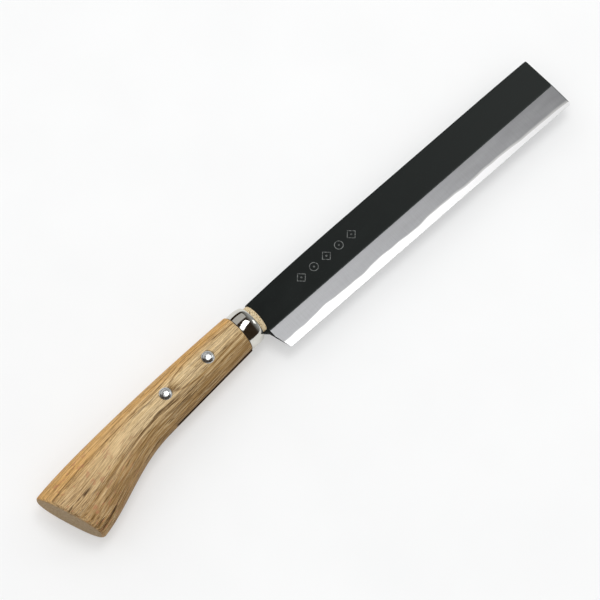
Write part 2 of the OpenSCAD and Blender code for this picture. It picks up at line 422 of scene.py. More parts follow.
def forged_black_scale():
    """Soft iron as it left the forge: a thin black oxide skin, matt and slightly mottled,
    which shows as near-black with a faint cold sheen."""
    material, tree = new_finish("forged_black_scale")
    point = drawing_mm(tree)
    cells = add(tree, "VectorMath", {0: point, 1: (26, 9, 9)}, operation="DIVIDE")
    clouds = add(tree, "TexNoise", {"Vector": cells, "Scale": 1.0, "Detail": 4.0})
    cells = add(tree, "VectorMath", {0: point, 1: (0.9, 0.9, 0.9)}, operation="DIVIDE")
    grit = add(tree, "TexNoise", {"Vector": cells, "Scale": 1.0, "Detail": 2.0})
    colour = add(tree, "ValToRGB", {0: clouds}, [(0.3, "#0c1110"), (0.5, "#101514"), (0.72, "#171b1a")])
    # The skin is drawn blacker at the neck and greyer towards the tip.
    along = add(tree, "SeparateXYZ", {0: point})
    greyer = add(tree, "Math", {0: along, 1: TIP_X * 1.15}, operation="DIVIDE")
    colour = add(tree, "Mix", {0: greyer, "A": colour, "B": "#282b2a"}, data_type="RGBA")
    specks = add(tree, "ValToRGB", {0: grit}, [(0.58, 0.0), (0.8, 0.35)])
    colour = add(tree, "Mix", {0: specks, "A": colour, "B": "#292c2b"}, data_type="RGBA")
    bare = add(tree, "Attribute", attribute_name="bare").outputs["Fac"]
    colour = add(tree, "Mix", {0: bare, "A": colour, "B": "#5d605f"}, data_type="RGBA")
    rough = add(tree, "ValToRGB", {0: clouds}, [(0.3, 0.5), (0.7, 0.62)])
    bump = add(tree, "Bump", {"Height": clouds, "Distance": 0.03 * MM})
    bump = add(tree, "Bump", {"Height": grit, "Distance": 0.012 * MM, "Normal": bump})
    shader = add(tree, "BsdfPrincipled", {
        "Base Color": colour, "Roughness": rough, "Normal": bump,
        "Metallic": 0.0, "IOR": 1.5, "Specular IOR Level": 0.12})
    add(tree, "OutputMaterial", {"Surface": shader})
    return material


def ground_soft_iron():
    """Soft iron ground on a wet stone: a hazy satin grey with fine scratches across the blade."""
    material, tree = new_finish("ground_soft_iron")
    point = drawing_mm(tree)
    cells = add(tree, "VectorMath", {0: point, 1: (22, 5, 5)}, operation="DIVIDE")
    haze = add(tree, "TexNoise", {"Vector": cells, "Scale": 1.0, "Detail": 3.0})
    # Grinding scratches are under 0.05 mm apart; drawn 0.35 mm apart so that they show.
    cells = add(tree, "VectorMath", {0: point, 1: (0.35, 12, 12)}, operation="DIVIDE")
    scratches = add(tree, "TexNoise", {"Vector": cells, "Scale": 1.0, "Detail": 3.0})
    colour = add(tree, "ValToRGB", {0: haze}, [(0.3, "#929395"), (0.7, "#9e9fa1")])
    lines = add(tree, "ValToRGB", {0: scratches}, [(0.45, 0.0), (0.75, 0.25)])
    colour = add(tree, "Mix", {0: lines, "A": colour, "B": "#828282"}, data_type="RGBA")
    # Beside the weld the two metals mix, and the stone leaves a paler band.
    weld = add(tree, "Attribute", attribute_name="weld").outputs["Fac"]
    colour = add(tree, "Mix", {0: weld, "A": colour, "B": "#ececeb"}, data_type="RGBA")
    rough = add(tree, "ValToRGB", {0: haze}, [(0.3, 0.4), (0.7, 0.44)])
    bump = add(tree, "Bump", {"Height": scratches, "Distance": 0.004 * MM})
    shader = add(tree, "BsdfPrincipled", {
        "Base Color": colour, "Roughness": rough, "Normal": bump, "Metallic": 1.0})
    add(tree, "OutputMaterial", {"Surface": shader})
    return material


def honed_hard_steel():
    """High-carbon steel honed on a fine stone: brighter than the iron, a clean white satin."""
    material, tree = new_finish("honed_hard_steel")
    point = drawing_mm(tree)
    cells = add(tree, "VectorMath", {0: point, 1: (0.3, 9, 9)}, operation="DIVIDE")
    scratches = add(tree, "TexNoise", {"Vector": cells, "Scale": 1.0, "Detail": 2.0})
    colour = add(tree, "ValToRGB", {0: scratches}, [(0.3, "#f6f7f8"), (0.75, "#fdfdfe")])
    rough = add(tree, "ValToRGB", {0: scratches}, [(0.3, 0.44), (0.7, 0.49)])
    shader = add(tree, "BsdfPrincipled", {
        "Base Color": colour, "Roughness": rough, "Metallic": 1.0})
    add(tree, "OutputMaterial", {"Surface": shader})
    return material


def nickel_plate():
    """Steel sheet spun to shape, then nickel plated: a warm bright mirror with faint spin lines."""
    material, tree = new_finish("nickel_plate")
    point = drawing_mm(tree)
    cells = add(tree, "VectorMath", {0: point, 1: (0.5, 40, 40)}, operation="DIVIDE")
    spin_lines = add(tree, "TexNoise", {"Vector": cells, "Scale": 1.0, "Detail": 2.0})
    cells = add(tree, "VectorMath", {0: point, 1: (4, 4, 4)}, operation="DIVIDE")
    smudges = add(tree, "TexNoise", {"Vector": cells, "Scale": 1.0, "Detail": 3.0})
    colour = add(tree, "ValToRGB", {0: smudges}, [(0.35, "#d3d1c9"), (0.7, "#dddbd4")])
    # Painted shade in the first 0.4 mm, the corner against the wood: a dark ring for the contact shadow
    # and the dark reflection there
    along = add(tree, "SeparateXYZ", {0: point})
    corner = add(tree, "ValToRGB", {0: along}, [(0.28, 1.0), (0.5, 0.0)])
    colour = add(tree, "Mix", {0: corner, "A": colour, "B": "#2a1d12"}, data_type="RGBA")
    rough = add(tree, "ValToRGB", {0: smudges}, [(0.3, 0.05), (0.75, 0.11)])
    rough = add(tree, "Math", {0: corner, 1: 0.5, 2: rough}, operation="MULTIPLY_ADD")
    bump = add(tree, "Bump", {"Height": spin_lines, "Distance": 0.002 * MM})
    shader = add(tree, "BsdfPrincipled", {
        "Base Color": colour, "Roughness": rough, "Normal": bump, "Metallic": 1.0})
    add(tree, "OutputMaterial", {"Surface": shader})
    return material


def polished_rivet_steel():
    """Cold-headed steel, barrelled and plated: a soft-edged mirror with small handling marks."""
    material, tree = new_finish("polished_rivet_steel")
    point = drawing_mm(tree)
    cells = add(tree, "VectorMath", {0: point, 1: (1.2, 1.2, 1.2)}, operation="DIVIDE")
    marks = add(tree, "TexNoise", {"Vector": cells, "Scale": 1.0, "Detail": 2.0})
    colour = add(tree, "ValToRGB", {0: marks}, [(0.3, "#e2e5e6"), (0.7, "#eef0f0")])
    rough = add(tree, "ValToRGB", {0: marks}, [(0.35, 0.25), (0.75, 0.28)])
    shader = add(tree, "BsdfPrincipled", {
        "Base Color": colour, "Roughness": rough, "Metallic": 1.0})
    add(tree, "OutputMaterial", {"Surface": shader})
    return material


def planed_oak():
    """Ring-porous oak, planed and left bare: tan wood ruled with long open pores, a yellower
    strip along the back, deep dark grooves fanning out towards the belly of the butt, and
    painted shade on the belly side and beside the saw cut."""
    material, tree = new_finish("planed_oak")
    # The grain spreads with the flare, so patterns follow the handle's own section.
    grain = add(tree, "Attribute", attribute_name="grain").outputs["Vector"]
    ring, groove_and_slot_shade, back, belly, end_grain, nose = [
        add(tree, "Attribute", attribute_name=name).outputs["Fac"]
        for name in ("ring", "groove_and_slot_shade", "back", "belly", "end_grain", "nose")]
    # How busy the figure is: calmer on the back, full on the belly
    busy = add(tree, "Math", {0: belly, 1: 0.35, 2: 0.65}, operation="MULTIPLY_ADD")
    busy = add(tree, "Math", {0: back, 1: -0.3, 2: busy}, operation="MULTIPLY_ADD")
    # The flare is twice as deep as the front, so its figure is drawn half as wide there.
    along = add(tree, "SeparateXYZ", {0: grain})
    flared = add(tree, "MapRange", {"Value": along, "From Min": -70.0, "From Max": -118.0})
    # One growth ring is about 1 mm: a row of pores first, then dense wood.
    phase = add(tree, "Math", {0: ring}, operation="FRACT")
    colour = add(tree, "ValToRGB", {0: phase}, [
        (0.0, "#9c7744"), (0.1, "#ad8a55"), (0.22, "#d0b07c"), (0.4, "#e2c492"),
        (0.75, "#e8cb9b"), (0.93, "#d2b07b"), (1.0, "#9c7744")])
    cells = add(tree, "VectorMath", {0: grain, 1: (40, 4, 4)}, operation="DIVIDE")
    patches = add(tree, "TexNoise", {"Vector": cells, "Scale": 1.0, "Detail": 3.0})
    greyed = add(tree, "ValToRGB", {0: patches}, [(0.4, 0.0), (0.58, 0.6)])
    colour = add(tree, "Mix", {0: greyed, "A": colour, "B": "#dcc196"}, data_type="RGBA")
    yellow = add(tree, "Math", {0: back, 1: 0.85}, operation="MULTIPLY")
    colour = add(tree, "Mix", {0: yellow, "A": colour, "B": "#dba04a"}, data_type="RGBA")
    # Painted shade: the belly side is drawn browner and darker, as it lies away from the light.
    belly_shade = add(tree, "Math", {0: belly, 1: 0.85}, operation="MULTIPLY")
    colour = add(tree, "Mix", {0: belly_shade, "A": colour, "B": "#94703d"}, data_type="RGBA")
    tanned = add(tree, "Math", {0: back, 1: -0.6, 2: 0.6}, operation="MULTIPLY_ADD", use_clamp=True)
    tanned = add(tree, "Math", {0: tanned, 1: flared}, operation="MULTIPLY")
    colour = add(tree, "Mix", {0: tanned, "A": colour, "B": "#b8915f"}, data_type="RGBA")
    # Fibres 0.4 mm across and some 24 mm long, finer and shorter in the flare
    cells = add(tree, "VectorMath", {0: grain, 1: (24, 0.42, 0.42)}, operation="DIVIDE")
    fibres = add(tree, "TexNoise", {"Vector": cells, "Scale": 1.0, "Detail": 3.0, "Roughness": 0.65})
    cells = add(tree, "VectorMath", {0: grain, 1: (11, 0.24, 0.24)}, operation="DIVIDE")
    finer = add(tree, "TexNoise", {"Vector": cells, "Scale": 1.0, "Detail": 3.0, "Roughness": 0.65})
    fibres = add(tree, "Mix", {0: flared, "A": fibres, "B": finer})
    darker = add(tree, "ValToRGB", {0: fibres}, [(0.37, 1.0), (0.485, 0.0)])
    darker = add(tree, "Math", {0: darker, 1: busy}, operation="MULTIPLY")
    colour = add(tree, "Mix", {0: darker, "A": colour, "B": "#85622f"}, data_type="RGBA")
    lighter = add(tree, "ValToRGB", {0: fibres}, [(0.54, 0.0), (0.66, 0.6)])
    lighter = add(tree, "Math", {0: lighter, 1: busy}, operation="MULTIPLY")
    colour = add(tree, "Mix", {0: lighter, "A": colour, "B": "#f2deb4"}, data_type="RGBA")
    # Where a ring is met, its row of pores draws one brown line.
    met = add(tree, "ValToRGB", {0: phase}, [(0.0, 0.75), (0.16, 0.0), (0.9, 0.0), (1.0, 0.75)])
    shown = add(tree, "Math", {0: belly, 1: -0.7, 2: 0.7}, operation="MULTIPLY_ADD")
    met = add(tree, "Math", {0: met, 1: shown}, operation="MULTIPLY")
    colour = add(tree, "Mix", {0: met, "A": colour, "B": "#8a6a3e"}, data_type="RGBA")
    # Open vessels cut lengthwise: dashes 5 mm long and 0.36 mm wide, narrower in the flare
    cells = add(tree, "VectorMath", {0: grain, 1: (5.0, 0.36, 0.36)}, operation="DIVIDE")
    vessels = add(tree, "TexNoise", {"Vector": cells, "Scale": 1.0, "Detail": 1.0})
    cells = add(tree, "VectorMath", {0: grain, 1: (5.0, 0.14, 0.14)}, operation="DIVIDE")
    finer = add(tree, "TexNoise", {"Vector": cells, "Scale": 1.0, "Detail": 1.0})
    vessels = add(tree, "Mix", {0: flared, "A": vessels, "B": finer})
    early = add(tree, "ValToRGB", {0: phase}, [
        (0.0, 1.0), (0.3, 0.8), (0.55, 0.45), (0.9, 0.45), (1.0, 1.0)])
    dashes = add(tree, "ValToRGB", {0: vessels}, [(0.55, 0.0), (0.61, 0.85)])
    dashes = add(tree, "Math", {0: dashes, 1: early}, operation="MULTIPLY")
    colour = add(tree, "Mix", {0: dashes, "A": colour, "B": "#74552d"}, data_type="RGBA")
    # Hair lines where a vessel runs unbroken for some centimetres
    cells = add(tree, "VectorMath", {0: grain, 1: (50, 0.85, 0.85)}, operation="DIVIDE")
    course = add(tree, "TexNoise", {"Vector": cells, "Scale": 1.0, "Detail": 1.0})
    off_line = add(tree, "Math", {0: course, 1: 0.5}, operation="SUBTRACT")
    off_line = add(tree, "Math", {0: off_line}, operation="ABSOLUTE")
    lines = add(tree, "ValToRGB", {0: off_line}, [(0.0, 1.0), (0.018, 0.95), (0.038, 0.0)])
    broken = add(tree, "ValToRGB", {0: patches}, [(0.4, 0.5), (0.58, 1.0)])
    lines = add(tree, "Math", {0: lines, 1: broken}, operation="MULTIPLY")
    lines = add(tree, "Math", {0: lines, 1: busy}, operation="MULTIPLY")
    colour = add(tree, "Mix", {0: lines, "A": colour, "B": "#523717"}, data_type="RGBA")
    # Ray flecks: a few pinkish spots 3.5 mm long, in the flare
    cells = add(tree, "VectorMath", {0: grain, 1: (3.5, 1.6, 1.6)}, operation="DIVIDE")
    flecks = add(tree, "TexNoise", {"Vector": cells, "Scale": 1.0, "Detail": 1.0})
    pink = add(tree, "ValToRGB", {0: flecks}, [(0.62, 0.0), (0.7, 0.6)])
    pink = add(tree, "Math", {0: pink, 1: flared}, operation="MULTIPLY")
    colour = add(tree, "Mix", {0: pink, "A": colour, "B": "#b67b58"}, data_type="RGBA")
    # Grooves drawn dark; beside the saw cut the same field is painted shade.
    colour = add(tree, "Mix", {0: groove_and_slot_shade, "A": colour, "B": "#4f3618"}, data_type="RGBA")
    # The two ends are cut across the pores and show them as pricks under 1 mm wide.
    cells = add(tree, "VectorMath", {0: grain, 1: (1.3, 0.75, 0.75)}, operation="DIVIDE")
    pricks = add(tree, "TexNoise", {"Vector": cells, "Scale": 1.0, "Detail": 1.0})
    weathered = add(tree, "ValToRGB", {0: pricks}, [
        (0.32, "#7e6848"), (0.45, "#97805f"), (0.66, "#a48d6c")])
    butt = add(tree, "Math", {0: end_grain, 1: 0.85}, operation="MULTIPLY")
    colour = add(tree, "Mix", {0: butt, "A": colour, "B": weathered}, data_type="RGBA")
    fresh = add(tree, "ValToRGB", {0: pricks}, [
        (0.3, "#8a6a40"), (0.42, "#d9c39a"), (0.6, "#e6d4b0"), (0.68, "#7a5a33")])
    colour = add(tree, "Mix", {0: nose, "A": colour, "B": fresh}, data_type="RGBA")
    height = add(tree, "Math", {0: fibres, 1: dashes}, operation="SUBTRACT")
    height = add(tree, "Math", {0: height, 1: lines}, operation="SUBTRACT")
    bump = add(tree, "Bump", {"Height": height, "Distance": 0.1 * MM})
    rough = add(tree, "ValToRGB", {0: fibres}, [(0.3, 0.66), (0.7, 0.54)])
    shader = add(tree, "BsdfPrincipled", {
        "Base Color": colour, "Roughness": rough, "Normal": bump,
        "Metallic": 0.0, "IOR": 1.45, "Specular IOR Level": 0.3})
    add(tree, "OutputMaterial", {"Surface": shader})
    return material


def painted_slot_shade():
    """The walls of the saw cut: painted shade, oak drawn dark brown and nearly black in the depth where
    the cut lies in shadow.
    """
    material, tree = new_finish("painted_slot_shade")
    point = drawing_mm(tree)
    # Saw teeth leave ridges about 0.8 mm apart.
    cells = add(tree, "VectorMath", {0: point, 1: (0.8, 6, 6)}, operation="DIVIDE")
    teeth = add(tree, "TexNoise", {"Vector": cells, "Scale": 1.0, "Detail": 2.0})
    colour = add(tree, "ValToRGB", {0: teeth}, [(0.35, "#1d120a"), (0.7, "#3a2415")])
    bump = add(tree, "Bump", {"Height": teeth, "Distance": 0.05 * MM})
    shader = add(tree, "BsdfPrincipled", {
        "Base Color": colour, "Normal": bump, "Roughness": 0.85,
        "Metallic": 0.0, "IOR": 1.45, "Specular IOR Level": 0.1})
    add(tree, "OutputMaterial", {"Surface": shader})
    return material


def cut_mark_iron():
    """Marks cut through the black skin with a small chisel: dull bare iron."""
    material, tree = new_finish("cut_mark_iron")
    point = drawing_mm(tree)
    cells = add(tree, "VectorMath", {0: point, 1: (1.1, 1.1, 1.1)}, operation="DIVIDE")
    wear = add(tree, "TexNoise", {"Vector": cells, "Scale": 1.0, "Detail": 3.0})
    colour = add(tree, "ValToRGB", {0: wear}, [(0.38, "#383b3a"), (0.6, "#737674")])
    shader = add(tree, "BsdfPrincipled", {
        "Base Color": colour, "Roughness": 0.5, "Metallic": 0.0, "IOR": 1.5})
    add(tree, "OutputMaterial", {"Surface": shader})
    return material


def opal_acrylic():
    """The sheet of opal acrylic of a product table, lit from below: even white, shadows pale."""
    material, tree = new_finish("opal_acrylic")
    point = drawing_mm(tree)
    # Slow unevenness of the cast sheet, some 60 mm across and almost too faint to see
    cells = add(tree, "VectorMath", {0: point, 1: (60, 60, 60)}, operation="DIVIDE")
    cast = add(tree, "TexNoise", {"Vector": cells, "Scale": 1.0, "Detail": 2.0})
    colour = add(tree, "ValToRGB", {0: cast}, [(0.3, "#c5c5c5"), (0.7, "#c8c8c8")])
    shader = add(tree, "BsdfPrincipled", {
        "Base Color": colour, "Roughness": 0.6, "Specular IOR Level": 0.1,
        "Emission Color": "#ffffff", "Emission Strength": 0.35})
    # From underneath the sheet is clear, so that the sickle's lower side can be seen.
    side = add(tree, "NewGeometry").outputs["Backfacing"]
    clear = add(tree, "BsdfTransparent")
    sheet = add(tree, "MixShader", {0: side, 1: shader, 2: clear})
    add(tree, "OutputMaterial", {"Surface": sheet})
    return material


# -------- blade

def spine_y(x):
    return (SPINE_H
            - NECK_DIP * (1 - clamp01((x - SHOULDER_X) / NECK_DIP_LEN)) ** 3
            - TIP_DIP * clamp01((x - TIP_X + TIP_DIP_LEN) / TIP_DIP_LEN) ** 2)


def steel_line_y(x, face):
    """Where the hard steel shows from under the iron: a forge-welded line that wanders in
    waves some 40 mm long, over a strip that narrows towards the tip."""
    edge = EDGE_Y - EDGE_FALL * clamp01((x - HEEL_X) / (TIP_X - HEEL_X))
    width = STRIP_W - STRIP_LOSS * clamp01((x - STRIP_LOSS_X) / STRIP_LOSS_LEN) ** 2
    swing = 1 - 0.6 * smooth((x - 90) / 130)
    wander = (0.42 * np.cos((x - 46) / 6.7 + 2 * face) + 0.16 * np.sin(x / 3.1 + face)
              + 0.08 * np.sin(x / 1.7 + 3 * face))
    return edge + width + wander * swing


def blade_outline():
    """Outline of the blade and its tang, seen square to the flats."""
    spine_end = TIP_X - TIP_SPINE_R
    xs = np.linspace(SHOULDER_X, spine_end, 60)
    outline = [(x, float(spine_y(x))) for x in xs]
    outline += arc_points(spine_end, float(spine_y(TIP_X)) - TIP_SPINE_R, TIP_SPINE_R, 80, 0, 8)
    outline += arc_points(TIP_X - TIP_EDGE_R, EDGE_LOW_Y + TIP_EDGE_R, TIP_EDGE_R, 0, -90, 9)
    outline += [
        (HEEL_X, EDGE_Y),
        (HEEL_X - HEEL_SLANT, EDGE_Y + HEEL_H),
        (NECK_X, NECK_Y),
        (NECK_X - 0.2, TANG_LOW_FRONT),
        (0.0, TANG_LOW_FRONT),
        (TANG_END_X + 2, TANG_LOW_REAR),
        (TANG_END_X, TANG_LOW_REAR + 2),
        (TANG_END_X, TANG_TOP_REAR - 1),
        (TANG_END_X + 1, TANG_TOP_REAR),
        (SHOULDER_X, TANG_TOP_FRONT),
    ]
    return outline[::-1]


def rivet_axis(node):
    low, high = box_of(node)
    middle = from_row((low + high) / 2)
    return middle[0], middle[1]


RIVETS = [rivet_axis("rivet_front_male"), rivet_axis("rivet_rear_male")]


def rivet_drill(radius, z_low, z_high):
    """Both rivet holes as one cutter."""
    sides = 48
    points, faces = [], []
    for x, y in RIVETS:
        start = len(points)
        ring = regular_ring(x, y, radius, sides)
        points += [(px, py, z_low) for px, py in ring]
        points += [(px, py, z_high) for px, py in ring]
        faces += [tuple(start + i for i in f) for f in ring_faces(2, sides)]
    drill = mesh_piece("drill", points, faces)
    recalculate_outside(drill)
    return drill


def half_thickness(x):
    """Half the flats' thickness: the blade steps down to the tang at the shoulder."""
    step = smooth((x - SHOULDER_X + 0.02) / 0.04)
    return TANG_T / 2 + (BLADE_T - TANG_T) / 2 * step


def stations_along():
    """Where the sections stand: close at the shoulder, 0.8 mm apart along the blade."""
    rear = np.linspace(TANG_END_X - 1, SHOULDER_X - 0.3, TANG_STATIONS)
    step = np.linspace(SHOULDER_X - 0.02, SHOULDER_X + 0.02, 3)
    blade = np.linspace(SHOULDER_X + 0.4, TIP_X - TIP_ARRIS, BLADE_STATIONS)
    return np.concatenate([rear, step, blade, [TIP_X - 0.1, TIP_X + 1]])


def forge_ripple(x, y, face):
    """The slight waviness that hammer and rolls leave, in millimetres."""
    return (0.022 * noise2(x / 13 + 7 * face, y / 9, SEED + face)
            + 0.010 * noise2(x / 4.5, y / 4 + 5 * face, SEED + 3 + face))


def back_of(x):
    """The blade's spine, carried level over the tang."""
    return float(spine_y(x)) if x > SHOULDER_X else SPINE_H


def bevel_z(y):
    return BLADE_T / 2 - BEVEL_SLOPE * (RIDGE_Y - y)


def weld_z(y, line):
    """Height of the joint between iron and steel: level inside, rising to the steel line."""
    low = CORE_T / 2
    return low + (bevel_z(line) - low) * float(smooth((RIDGE_Y - y) / (RIDGE_Y - line)))


def cladding_section(x, face):
    """Section of the iron on one face as (y, z) pairs, z positive; x is one station."""
    top = float(half_thickness(x))
    line = float(steel_line_y(x, face))
    back = back_of(x)
    inner = [(y, weld_z(y, line)) for y in np.linspace(line, back, 10)]
    arris = [(back - ARRIS + ARRIS * math.cos(a), top - ARRIS + ARRIS * math.sin(a))
             for a in np.radians([0, 22, 45, 68, 90])]
    flat = [(y, top + float(forge_ripple(x, y, face)) * float(smooth((back - y) / 2)
                                                              * smooth((y - RIDGE_Y) / 2)))
            for y in np.linspace(back - 2 * ARRIS, RIDGE_Y + 0.25, 26)]
    bevel = [(y, top - BEVEL_SLOPE * (RIDGE_Y - y)) for y in np.linspace(RIDGE_Y - 0.25, line, 16)]
    return inner + arris + flat + bevel[:-1]


def core_section(x):
    """Section of the hard steel: flat between the irons, then the two bevels to the edge."""
    half = []
    for face in (0, 1):
        line = float(steel_line_y(x, face))
        inner = [(y, weld_z(y, line)) for y in np.linspace(back_of(x), line, 10)]
        bevel = [(y, bevel_z(y) - HONED_SLOPE * (line - y))
                 for y in np.linspace(line, EDGE_LOW_Y - 0.1, 7)[1:]]
        half.append(inner + bevel)
    upper, lower = half
    return upper + [(y, -z) for y, z in lower[::-1]]


def blade_layer(name, section, flip):
    """Skins the sections at all stations into one closed piece, cuts it to the blade's outline
    and bores it for the rivets."""
    xs = stations_along()
    rings = [[(x, y, -z if flip else z) for y, z in section(x)] for x in xs]
    points = [p for ring in rings for p in ring]
    piece = mesh_piece(name, points, ring_faces(len(rings), len(rings[0])))
    recalculate_outside(piece)
    carve(piece, prism("plan", blade_outline(), -BLADE_T, BLADE_T), "INTERSECT")
    carve(piece, rivet_drill(TUBE_R + RIVET_FIT, -BLADE_T, BLADE_T))
    return piece


def mark_cutter():
    """A row of plain lozenges and rings, each with a dot, as one cutter."""
    points, faces = [], []

    def tube(outer, inner):
        start, n = len(points), len(outer)
        low, high = BLADE_T / 2 - MARK_DEPTH, BLADE_T
        for ring in ([(x, y, low) for x, y in outer], [(x, y, high) for x, y in outer],
                     [(x, y, high) for x, y in inner], [(x, y, low) for x, y in inner]):
            points.extend(ring)
        for wall in range(4):
            a, b = start + wall * n, start + (wall + 1) % 4 * n
            faces.extend((a + k, a + (k + 1) % n, b + (k + 1) % n, b + k) for k in range(n))

    for i in range(MARK_COUNT):
        cx = MARK_FROM_X + i * MARK_PITCH
        if i % 2:
            sides, reach, stroke = 40, MARK_R, STROKE
        else:
            sides, reach, stroke = 4, MARK_R * LOZENGE_REACH, STROKE * LOZENGE_STROKE
        tube(*(regular_ring(cx, MARK_Y, r, sides) for r in (reach, reach - stroke)))
        tube(*(regular_ring(cx, MARK_Y, r, 16) for r in (DOT_R, DOT_HOLE_R)))
    cutter = mesh_piece("marks", points, faces)
    recalculate_outside(cutter)
    return cutter


def make_cladding(face, name, node, scale, ground, marks):
    piece = blade_layer(name, lambda x: cladding_section(x, face), face == 1)
    if face == 0:
        carve(piece, mark_cutter())
    piece.data.materials.clear()
    for material in (scale, ground, marks):
        piece.data.materials.append(material)
    outward = -1 if face else 1
    for polygon in piece.data.polygons:
        centre = from_row(polygon.center)
        on_bevel = centre[1] < RIDGE_Y and SHOULDER_X < centre[0] < TIP_X - TIP_ARRIS
        on_bevel = on_bevel and polygon.normal[2] * outward > 0.9
        sunk = CORE_T / 2 < centre[2] < BLADE_T / 2 - RIPPLE_REACH
        in_mark = face == 0 and sunk and abs(centre[1] - MARK_Y) < 4
        in_mark = in_mark and MARK_FROM_X - 4 < centre[0] < MARK_FROM_X + MARK_COUNT * MARK_PITCH
        polygon.material_index = 1 if on_bevel else 2 if in_mark else 0
    # The skin is rubbed thin along the spine and the ridge.
    x, y = vertices_mm(piece)[:, :2].T
    spine_rub = 0.35 * smooth((y - spine_y(x) + 0.5) / 0.5)
    ridge_rub = 0.4 * smooth((RIDGE_Y + 1.2 - y) / 1.2) * (y > RIDGE_Y - 0.3)
    store(piece, "bare", np.maximum(spine_rub, ridge_rub) * (x > SHOULDER_X))
    spread = 0.5 + 1.3 * smooth((x - 90) / 120)
    above_weld = y - steel_line_y(x, face)
    store(piece, "weld", 0.75 * smooth(1 - above_weld / spread) * (y < RIDGE_Y))
    shade(piece, 20)
    keep_inside(piece)
    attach(piece, "root")
    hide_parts(node)


def make_core(steel, scale):
    piece = blade_layer("hard_steel_core", core_section, False)
    piece.data.materials.clear()
    piece.data.materials.append(steel)
    piece.data.materials.append(scale)
    for polygon in piece.data.polygons:
        ground_face = abs(polygon.normal[2]) > 0.9 and from_row(polygon.center)[1] < RIDGE_Y
        polygon.material_index = 0 if ground_face else 1
    store(piece, "bare", np.zeros(len(piece.data.vertices)))
    shade(piece, 20)
    keep_inside(piece)
    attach(piece, "root")
    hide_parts("blade_core")


# -------- handle

def back_y(s):
    return HALF_T - BACK_DROP * (s / BACK_LEN) ** 2 - BACK_ROLL * (s / BACK_LEN) ** 10


def belly_y(s):
    hook = smooth((s - HOOK_START) / (HOOK_END - HOOK_START)) ** 1.15
    return -HALF_T - s * BELLY_SLOPE - HOOK_DEPTH * hook


def section_frame(u):
    """Middle, half depth and direction of the oval section at u, 0 at the front, 1 at the butt."""
    back = np.array([-u * BACK_LEN, back_y(u * BACK_LEN)])
    belly = np.array([-u * BELLY_LEN, float(belly_y(u * BELLY_LEN))])
    half = np.linalg.norm(back - belly) / 2
    return (back + belly) / 2, half, (back - belly) / (2 * half)


def oval(u, inset, shrink=1.0):
    mid, half, direction = section_frame(u)
    power = 2 / (2 + (BUTT_POWER - 2) * u)
    a = np.linspace(0, 2 * math.pi, AROUND, endpoint=False)
    across = (half - inset) * shrink * np.sign(np.cos(a)) * np.abs(np.cos(a)) ** power
    up = (HALF_T - inset) * shrink * np.sign(np.sin(a)) * np.abs(np.sin(a)) ** power
    return np.column_stack([mid[0] + direction[0] * across, mid[1] + direction[1] * across, up])


def circle_at(x, radius):
    a = np.linspace(0, 2 * math.pi, AROUND, endpoint=False)
    return np.column_stack([np.full(AROUND, x), radius * np.cos(a), radius * np.sin(a)])


def handle_rings():
    """From the middle of the tenon's end, back over the nose, the grip and the butt."""
    bore_r = FERRULE_BORE_R - WOOD_FIT
    bore_len = FERRULE_LEN - FERRULE_LIP
    rings = [circle_at(TENON_X, r) for r in np.linspace(0.4, TENON_R - TENON_ROUND, 22)]
    for a in np.radians([18, 36, 54, 72, 90]):
        rings.append(circle_at(TENON_X - TENON_ROUND * (1 - math.cos(a)),
                               TENON_R - TENON_ROUND + TENON_ROUND * math.sin(a)))
    rings += [circle_at(x, TENON_R) for x in np.linspace(TENON_X - 1.1, FERRULE_LEN - 0.7, 8)]
    rings += [circle_at(bore_len, bore_r), circle_at(0.02, bore_r)]
    front = FRONT_ROUND / BACK_LEN
    for a in np.radians([0, 22, 45, 68]):
        rings.append(oval(front * (1 - math.sin(math.pi / 2 - a)), FRONT_ROUND * (1 - math.sin(a))))
    butt = BUTT_ROUND / BACK_LEN
    rings += [oval(u, 0.0) for u in np.linspace(front, 1 - butt, ALONG)]
    for a in np.radians([15, 30, 45, 60, 75, 90]):
        rings.append(oval(1 - butt * (1 - math.sin(a)), BUTT_ROUND * (1 - math.cos(a))))
    rings += [oval(1.0, BUTT_ROUND, shrink) for shrink in np.linspace(0.985, 0.02, 44)]
    return rings


